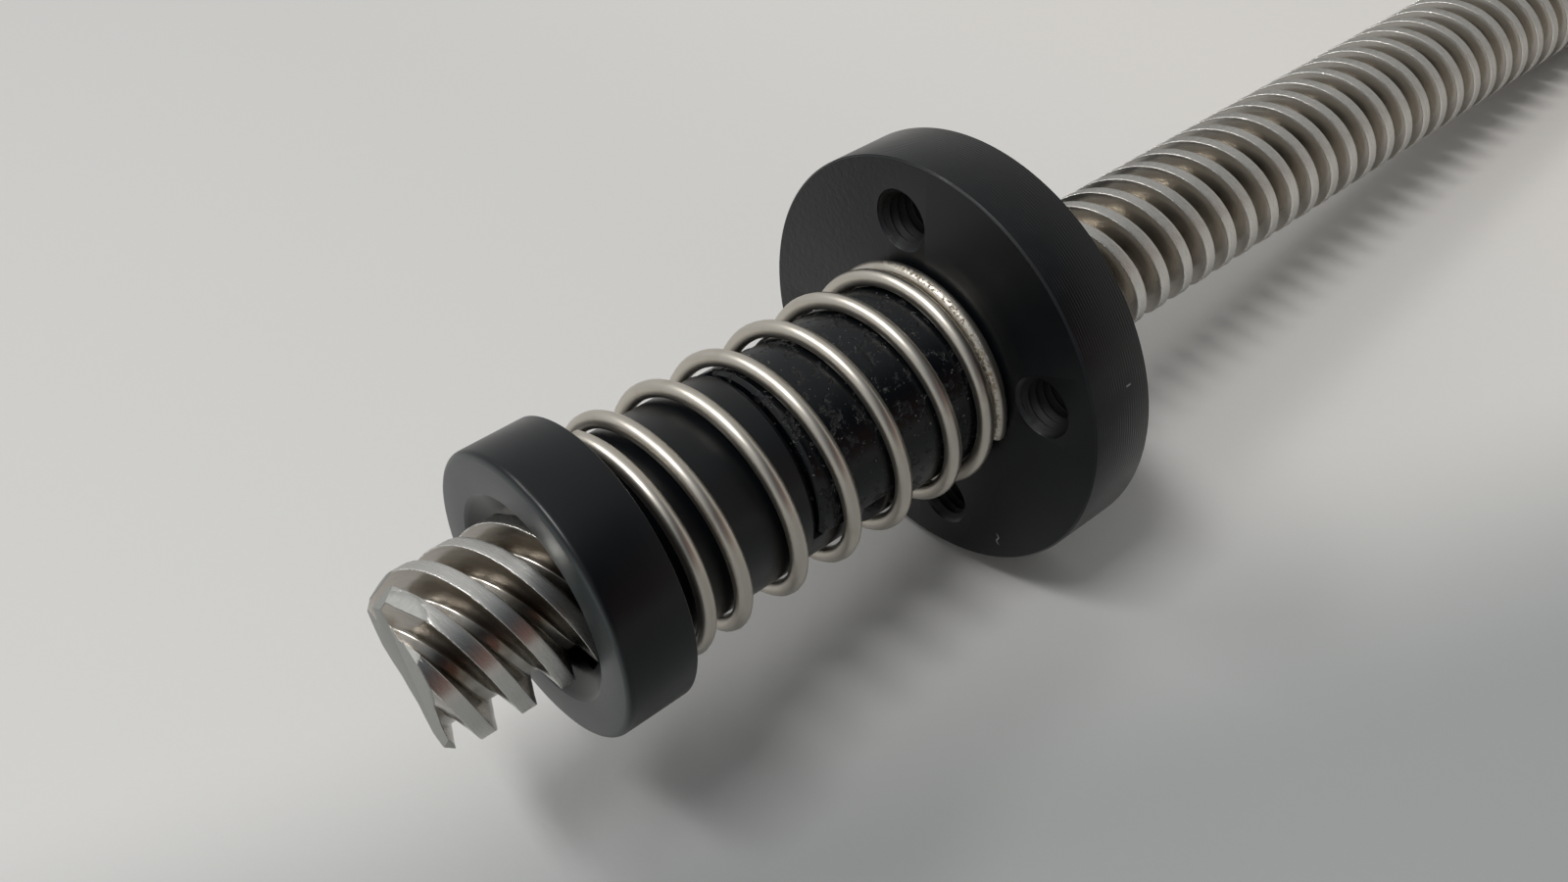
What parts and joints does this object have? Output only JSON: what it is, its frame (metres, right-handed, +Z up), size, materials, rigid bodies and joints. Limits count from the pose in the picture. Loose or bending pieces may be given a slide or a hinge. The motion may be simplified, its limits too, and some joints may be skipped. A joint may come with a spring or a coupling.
{
  "type": "anti-backlash lead screw nut",
  "caption": "Black plastic anti-backlash lead screw nut: a round bolt flange and a spring-loaded follower nut on a length of steel trapezoidal screw.",
  "frame": {"origin": "centre of the flange's flat back face, on the screw's axis and in the middle of the circle of tapped holes", "axes": "+X along the screw's axis, from the near tip beside the follower's collar to the far end; +Z up"},
  "size_m": [0.0999, 0.0226, 0.0224],
  "materials": {
    "screw_steel": "rolled trapezoidal thread in bare stainless steel, satin crests with shinier flanks and a film of brown grease in the grooves",
    "flange_plastic": "turned black acetal with fine tool marks, the neck pitted and greasy",
    "follower_plastic": "turned black acetal, smooth satin",
    "spring_steel": "bright drawn stainless spring wire with square cut ends"
  },
  "bodies": {
    "flange_nut": {"flange_nut": "flange_plastic"},
    "follower_nut": {"follower_nut": "follower_plastic"},
    "spring": {"spring": "spring_steel"},
    "lead_screw": {"lead_screw": "screw_steel"}
  },
  "joints": [
    {"name": "follower_slide", "type": "slide", "parent": "flange_nut", "child": "follower_nut", "axis": [1, 0, 0], "range_m": [0, 0.0003], "stiffness_N_per_m": 600, "springref_m": -0.005, "deforming": ["spring"]},
    {"name": "screw_turn", "type": "hinge", "parent": "flange_nut", "child": "spring", "pos_m": [0, 0, 0], "axis": [1, 0, 0], "range_deg": [-2880, 270]},
    {"name": "screw_feed", "type": "slide", "parent": "spring", "child": "lead_screw", "axis": [1, 0, 0], "range_m": [-0.0641, 0.0061]}
  ],
  "couplings": [
    {"joint": "screw_feed", "follows": "screw_turn", "m_per_rad": 0.0012732}
  ]
}
